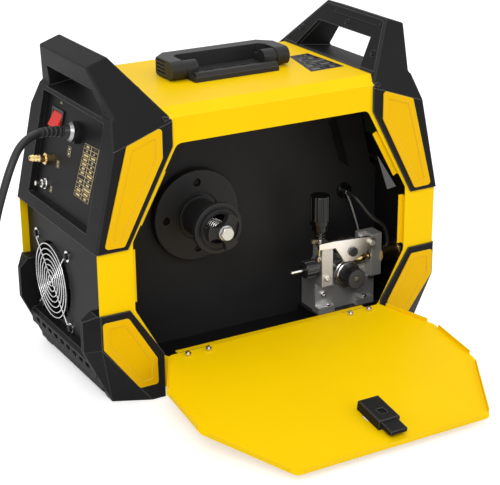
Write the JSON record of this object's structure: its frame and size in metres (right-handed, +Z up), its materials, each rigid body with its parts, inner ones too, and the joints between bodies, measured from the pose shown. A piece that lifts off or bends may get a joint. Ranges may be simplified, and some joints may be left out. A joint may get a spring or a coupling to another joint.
{
  "type": "mig welding machine",
  "caption": "Suitcase style wire welding machine with an open side door, spool hub, wire drive, end handles, folding carry handle, fan and mains lead.",
  "frame": {"origin": "on the floor, under the middle of the outline with the door open and without the mains lead", "axes": "+Z up, +X towards the front end with the controls and sockets, -Y towards the open door"},
  "size_m": [0.8466, 0.5238, 0.426],
  "materials": {
    "yellow_paint": "gloss powder coat",
    "yellow_plastic": "smooth moulded",
    "black_paint": "satin powder coat",
    "black_plastic": "fine grain",
    "dark_plastic": "smooth",
    "steel": "zinc plated",
    "bright_wire": "plated wire",
    "aluminium": "cast and machined",
    "brass": "turned",
    "rubber": "matt sheath",
    "red_plastic": "lit rocker",
    "core": "varnished core",
    "board": "circuit board"
  },
  "bodies": {
    "case": {"base_pan": "black_paint", "outer_cover": "yellow_paint", "partition": "black_paint", "rear_panel": "black_paint", "front_panel": "black_paint", "front_upper_moulding": "black_plastic", "rear_upper_moulding": "black_plastic", "front_lower_moulding": "black_plastic", "rear_lower_moulding": "black_plastic", "front_handle_shell": "black_plastic", "rear_handle_shell": "black_plastic", "corner_inserts": "yellow_plastic", "terminal_panel": "black_paint", "control_panel": "black_paint", "m5_screws": "steel", "switch_body": "dark_plastic", "cable_gland": "black_plastic", "power_cord": "rubber", "cord_coil": "rubber", "mains_plug": "rubber", "gas_inlet": "brass", "earth_stud": "steel", "fan_frame": "dark_plastic", "fan_guard": "bright_wire", "bail_base": "black_plastic", "hinge_case_leaves": "steel", "hub_flange": "black_plastic", "hub_spring": "steel", "feeder_body": "aluminium", "feeder_insulator": "dark_plastic", "feeder_motor": "steel", "inlet_guide": "steel", "euro_connector": "brass", "gas_valve": "brass", "gas_hose": "rubber", "power_board": "aluminium", "transformer": "core", "output_reactor": "core", "control_board": "board", "current_sockets": "brass"},
    "door": {"door": "yellow_paint", "hinge_door_leaves": "steel", "latch_body": "black_plastic"},
    "latch_slide": {"latch_slide": "steel"},
    "bail": {"bail": "black_plastic"},
    "hub_spindle": {"hub_spindle": "black_plastic"},
    "hub_ring": {"hub_ring": "black_plastic"},
    "hub_lock": {"hub_lock": "black_plastic"},
    "hub_bolt": {"hub_bolt": "bright_wire"},
    "tension_rod": {"tension_rod": "steel", "tension_spring": "steel"},
    "tension_knob": {"tension_knob": "black_plastic"},
    "pressure_arm": {"pressure_arm": "steel"},
    "pressure_roller": {"pressure_roller": "steel"},
    "drive_roller": {"drive_roller": "steel"},
    "roller_cap": {"roller_cap": "black_plastic"},
    "fan_rotor": {"fan_rotor": "dark_plastic"},
    "switch_rocker": {"switch_rocker": "red_plastic"},
    "knob_left": {"knob_left": "black_plastic"},
    "knob_right": {"knob_right": "black_plastic"}
  },
  "joints": [
    {"name": "door_hinge", "type": "hinge", "parent": "case", "child": "door", "pos_m": [0, 0.00785, 0.0518], "axis": [-1, 0, 0], "range_deg": [0, 99]},
    {"name": "latch_press", "type": "slide", "parent": "door", "child": "latch_slide", "axis": [0, 0.9877, 0.1564], "range_m": [0, 0.0065], "stiffness_N_per_m": 600, "springref_m": -0.002},
    {"name": "bail_hinge", "type": "hinge", "parent": "case", "child": "bail", "pos_m": [0, 0.12935, 0.38], "axis": [1, 0, 0], "range_deg": [0, 90]},
    {"name": "spindle_spin", "type": "hinge", "parent": "case", "child": "hub_spindle", "pos_m": [-0.057, 0.08435, 0.188], "axis": [0, -1, 0], "continuous": true},
    {"name": "ring_turn", "type": "hinge", "parent": "hub_spindle", "child": "hub_ring", "pos_m": [-0.057, 0.06035, 0.188], "axis": [0, -1, 0], "continuous": true},
    {"name": "lock_turn", "type": "hinge", "parent": "hub_spindle", "child": "hub_lock", "pos_m": [-0.057, 0.06035, 0.188], "axis": [0, -1, 0], "range_deg": [0, 90]},
    {"name": "bolt_turn", "type": "hinge", "parent": "hub_spindle", "child": "hub_bolt", "pos_m": [-0.057, 0.08435, 0.188], "axis": [0, -1, 0], "continuous": true},
    {"name": "tension_tilt", "type": "hinge", "parent": "case", "child": "tension_rod", "pos_m": [0.106, 0.07435, 0.108], "axis": [0, -1, 0], "range_deg": [0, 60], "deforming": ["tension_spring"]},
    {"name": "knob_turn", "type": "hinge", "parent": "tension_rod", "child": "tension_knob", "pos_m": [0.106, 0.07435, 0.17], "axis": [0, 0, 1], "continuous": true},
    {"name": "arm_lift", "type": "hinge", "parent": "case", "child": "pressure_arm", "pos_m": [0.18, 0.06285, 0.122], "axis": [0, 1, 0], "range_deg": [0, 21]},
    {"name": "drive_spin", "type": "hinge", "parent": "case", "child": "drive_roller", "pos_m": [0.15, 0.07435, 0.0775], "axis": [0, 1, 0], "continuous": true},
    {"name": "press_spin", "type": "hinge", "parent": "pressure_arm", "child": "pressure_roller", "pos_m": [0.15, 0.07435, 0.1142], "axis": [0, 1, 0], "continuous": true},
    {"name": "cap_turn", "type": "hinge", "parent": "drive_roller", "child": "roller_cap", "pos_m": [0.15, 0.05935, 0.0775], "axis": [0, -1, 0], "range_deg": [0, 60]},
    {"name": "fan_spin", "type": "hinge", "parent": "case", "child": "fan_rotor", "pos_m": [-0.22, 0.17535, 0.1135], "axis": [1, 0, 0], "continuous": true},
    {"name": "switch_rock", "type": "hinge", "parent": "case", "child": "switch_rocker", "pos_m": [-0.21132, 0.18735, 0.32157], "axis": [0, -1, 0], "range_deg": [0, 12]},
    {"name": "knob_left_turn", "type": "hinge", "parent": "case", "child": "knob_left", "pos_m": [0.22475, 0.08435, 0.27], "axis": [0.9765, 0, 0.2156], "range_deg": [-150, 150]},
    {"name": "knob_right_turn", "type": "hinge", "parent": "case", "child": "knob_right", "pos_m": [0.22475, 0.18435, 0.27], "axis": [0.9765, 0, 0.2156], "range_deg": [-150, 150]}
  ],
  "couplings": [
    {"joint": "arm_lift", "follows": "tension_tilt", "ratio": 0.35},
    {"joint": "press_spin", "follows": "drive_spin", "ratio": -1.0882}
  ]
}
